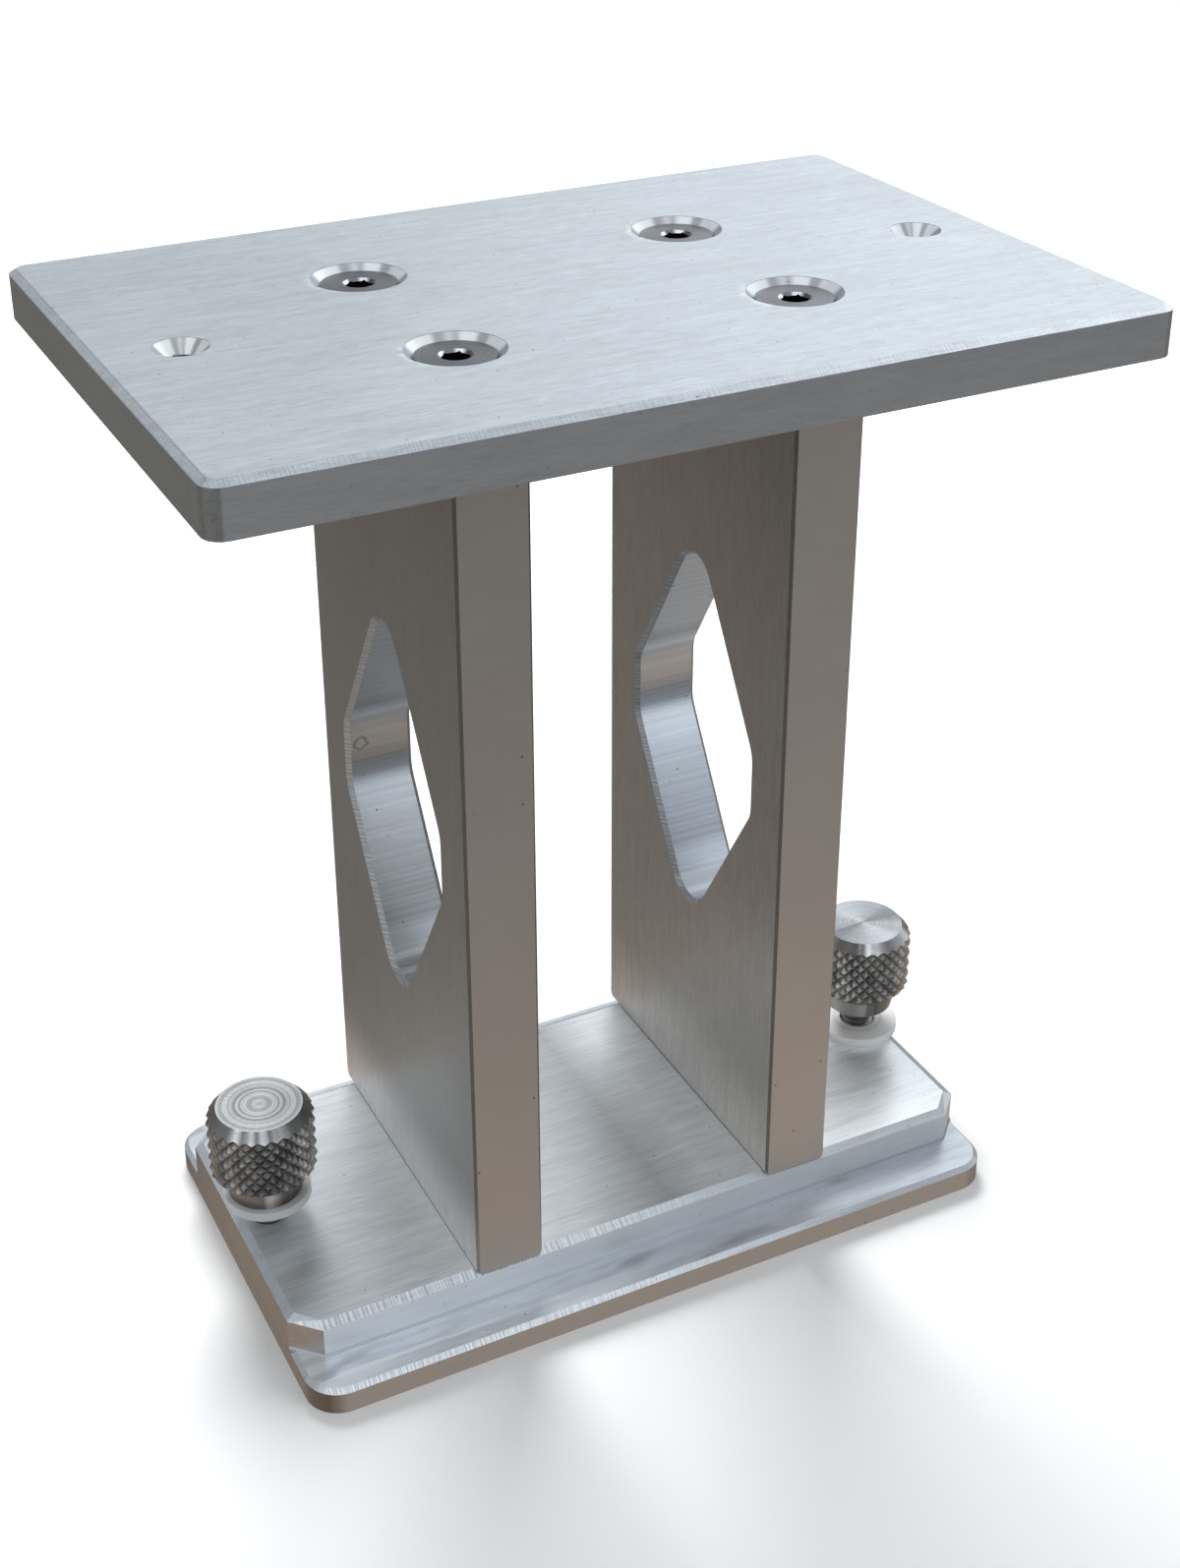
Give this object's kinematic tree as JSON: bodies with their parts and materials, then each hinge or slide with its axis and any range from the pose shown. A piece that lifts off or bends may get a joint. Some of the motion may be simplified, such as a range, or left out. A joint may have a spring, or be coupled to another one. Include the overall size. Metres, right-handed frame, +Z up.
{
  "type": "adapter plate",
  "caption": "Adapter plate: flat top plate with countersunk holes on windowed uprights over a stepped base, with knurled thumbscrews and translucent washers at the ends.",
  "frame": {"origin": "on the underside of the base, midway between the uprights and under the middle of the top plate", "axes": "+X to the right along the long side, +Y to the back, +Z up"},
  "size_m": [0.15, 0.1, 0.1685],
  "materials": {
    "plate_metal": "milled, fine grain",
    "upright_metal": "milled, fine grain",
    "base_metal": "milled, fine grain",
    "screw_steel": "turned",
    "knob_steel": "turned and knurled",
    "stud_steel": "threaded",
    "nylon": "translucent, smooth"
  },
  "bodies": {
    "stand": {"base_plate": "base_metal", "left_upright": "upright_metal", "right_upright": "upright_metal", "top_plate": "plate_metal", "top_screw_front_left": "screw_steel", "top_screw_front_right": "screw_steel", "top_screw_back_left": "screw_steel", "top_screw_back_right": "screw_steel", "foot_screw_front_left": "screw_steel", "foot_screw_front_right": "screw_steel", "foot_screw_back_left": "screw_steel", "foot_screw_back_right": "screw_steel", "right_washer": "nylon"},
    "left_screw": {"left_stud": "stud_steel", "left_washer": "nylon"},
    "left_head": {"left_knob": "knob_steel"},
    "right_screw": {"right_stud": "stud_steel"},
    "right_head": {"right_knob": "knob_steel"}
  },
  "joints": [
    {"name": "left_turn", "type": "hinge", "parent": "left_screw", "child": "left_head", "pos_m": [-0.06, 0, 0.017], "axis": [0, 0, 1], "range_deg": [-1549, 1441]},
    {"name": "left_travel", "type": "slide", "parent": "stand", "child": "left_screw", "axis": [0, 0, 1], "range_m": [-0.0043, 0.004]},
    {"name": "right_turn", "type": "hinge", "parent": "right_screw", "child": "right_head", "pos_m": [0.06, 0, 0.017], "axis": [0, 0, 1], "range_deg": [-1549, 1441]},
    {"name": "right_travel", "type": "slide", "parent": "stand", "child": "right_screw", "axis": [0, 0, 1], "range_m": [-0.0043, 0.004]}
  ],
  "couplings": [
    {"joint": "left_turn", "follows": "left_travel", "rad_per_m": 6283.2},
    {"joint": "right_turn", "follows": "right_travel", "rad_per_m": 6283.2}
  ]
}
